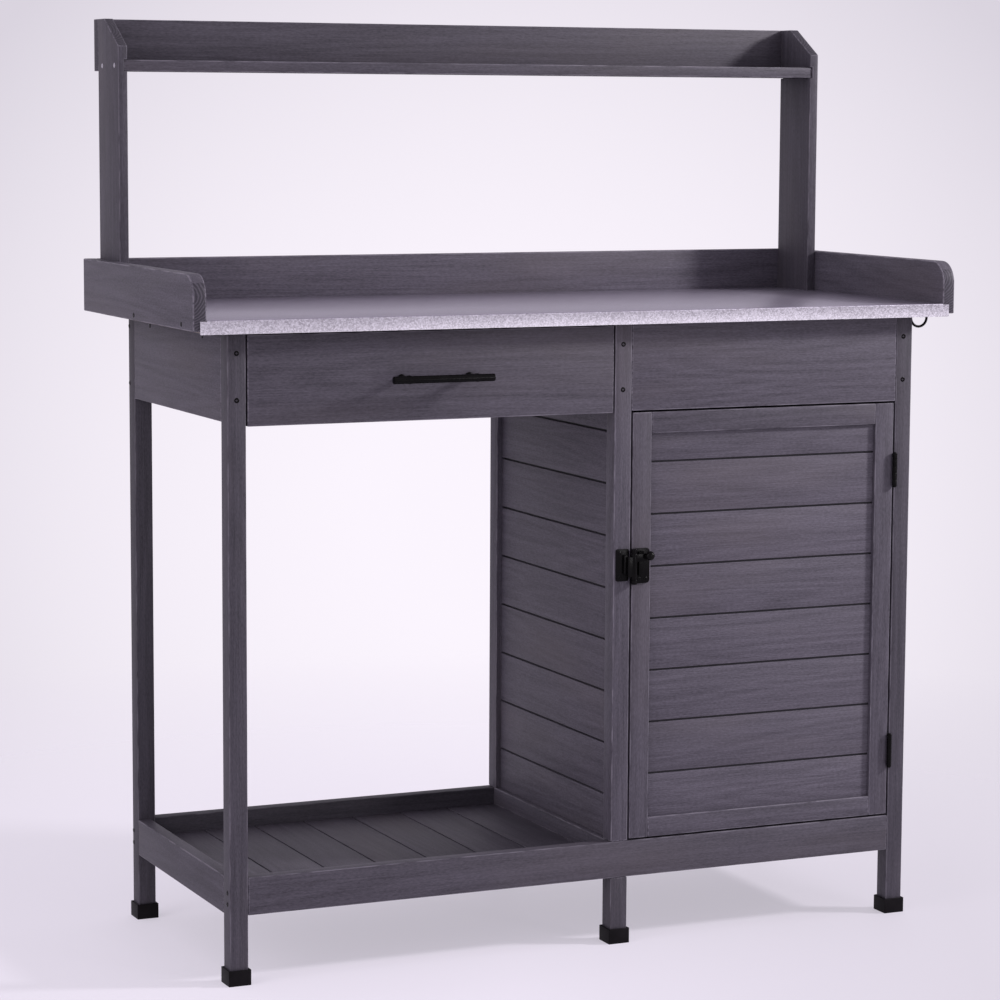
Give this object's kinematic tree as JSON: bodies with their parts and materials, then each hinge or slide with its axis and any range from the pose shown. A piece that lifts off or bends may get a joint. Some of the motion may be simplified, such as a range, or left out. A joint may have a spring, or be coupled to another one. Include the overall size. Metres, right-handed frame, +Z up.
{
  "type": "potting bench",
  "caption": "Wooden potting bench with a zinc-covered table top, a drawer, an open bay over a low deck, a cabinet with a latched door and a small upper shelf.",
  "frame": {"origin": "on the floor under the middle of the bench", "axes": "+Z up, +X to the right seen from the front, front faces -Y"},
  "size_m": [1.116, 0.478, 1.252],
  "materials": {
    "stained_wood": "dark grey stain, satin, fine grain",
    "plain_wood": "thin grey stain, matt",
    "zinc_sheet": "galvanised sheet, mottled satin",
    "black_steel": "black powder coat, satin",
    "foot_plastic": "moulded black plastic, matt"
  },
  "bodies": {
    "bench_frame": {"leg_front_left": "stained_wood", "leg_front_right": "stained_wood", "leg_front_middle": "stained_wood", "leg_back_left": "stained_wood", "leg_back_right": "stained_wood", "leg_back_middle": "stained_wood", "foot_front_left": "foot_plastic", "foot_front_right": "foot_plastic", "foot_front_middle": "foot_plastic", "foot_back_left": "foot_plastic", "foot_back_right": "foot_plastic", "foot_back_middle": "foot_plastic", "bottom_rail_front": "stained_wood", "bottom_rail_back": "stained_wood", "bottom_rail_left": "stained_wood", "bottom_rail_right": "stained_wood", "deck_boards": "stained_wood", "cabinet_floor": "stained_wood", "cabinet_sill": "stained_wood", "post_front": "stained_wood", "post_back": "stained_wood", "apron_left": "stained_wood", "apron_right": "stained_wood", "apron_back": "stained_wood", "front_panel": "stained_wood", "cabinet_wall_left": "stained_wood", "cabinet_wall_right": "stained_wood", "cabinet_wall_back": "stained_wood", "side_rail_left": "stained_wood", "side_rail_right": "stained_wood", "back_rail": "stained_wood", "upright_left": "stained_wood", "upright_right": "stained_wood", "upper_shelf": "stained_wood", "upper_back_board": "stained_wood", "deck_cleat_front": "plain_wood", "deck_cleat_back": "plain_wood", "table_board": "plain_wood", "drawer_runner_left": "plain_wood", "drawer_runner_right": "plain_wood", "zinc_top": "zinc_sheet", "hinge_upper_frame_leaf": "black_steel", "hinge_lower_frame_leaf": "black_steel", "latch_strike": "black_steel", "cup_hook": "black_steel"},
    "drawer": {"drawer_front": "stained_wood", "drawer_side_left": "plain_wood", "drawer_side_right": "plain_wood", "drawer_back": "plain_wood", "drawer_bottom": "plain_wood", "drawer_handle": "black_steel"},
    "door": {"door_stile_left": "stained_wood", "door_stile_right": "stained_wood", "door_rail_top": "stained_wood", "door_rail_bottom": "stained_wood", "door_panel": "stained_wood", "hinge_upper_door_leaf": "black_steel", "hinge_lower_door_leaf": "black_steel", "latch_body": "black_steel"},
    "latch_lever": {"latch_lever": "black_steel"}
  },
  "joints": [
    {"name": "drawer_slide", "type": "slide", "parent": "bench_frame", "child": "drawer", "axis": [0, -1, 0], "range_m": [0, 0.28]},
    {"name": "door_hinge", "type": "hinge", "parent": "bench_frame", "child": "door", "pos_m": [0.47865, -0.208, 0.4355], "axis": [0, 0, 1], "range_deg": [0, 170]},
    {"name": "latch_turn", "type": "hinge", "parent": "door", "child": "latch_lever", "pos_m": [0.0705, -0.2126, 0.5205], "axis": [0, 0, 1], "range_deg": [0, 12], "stiffness_Nm_per_rad": 0.15}
  ]
}
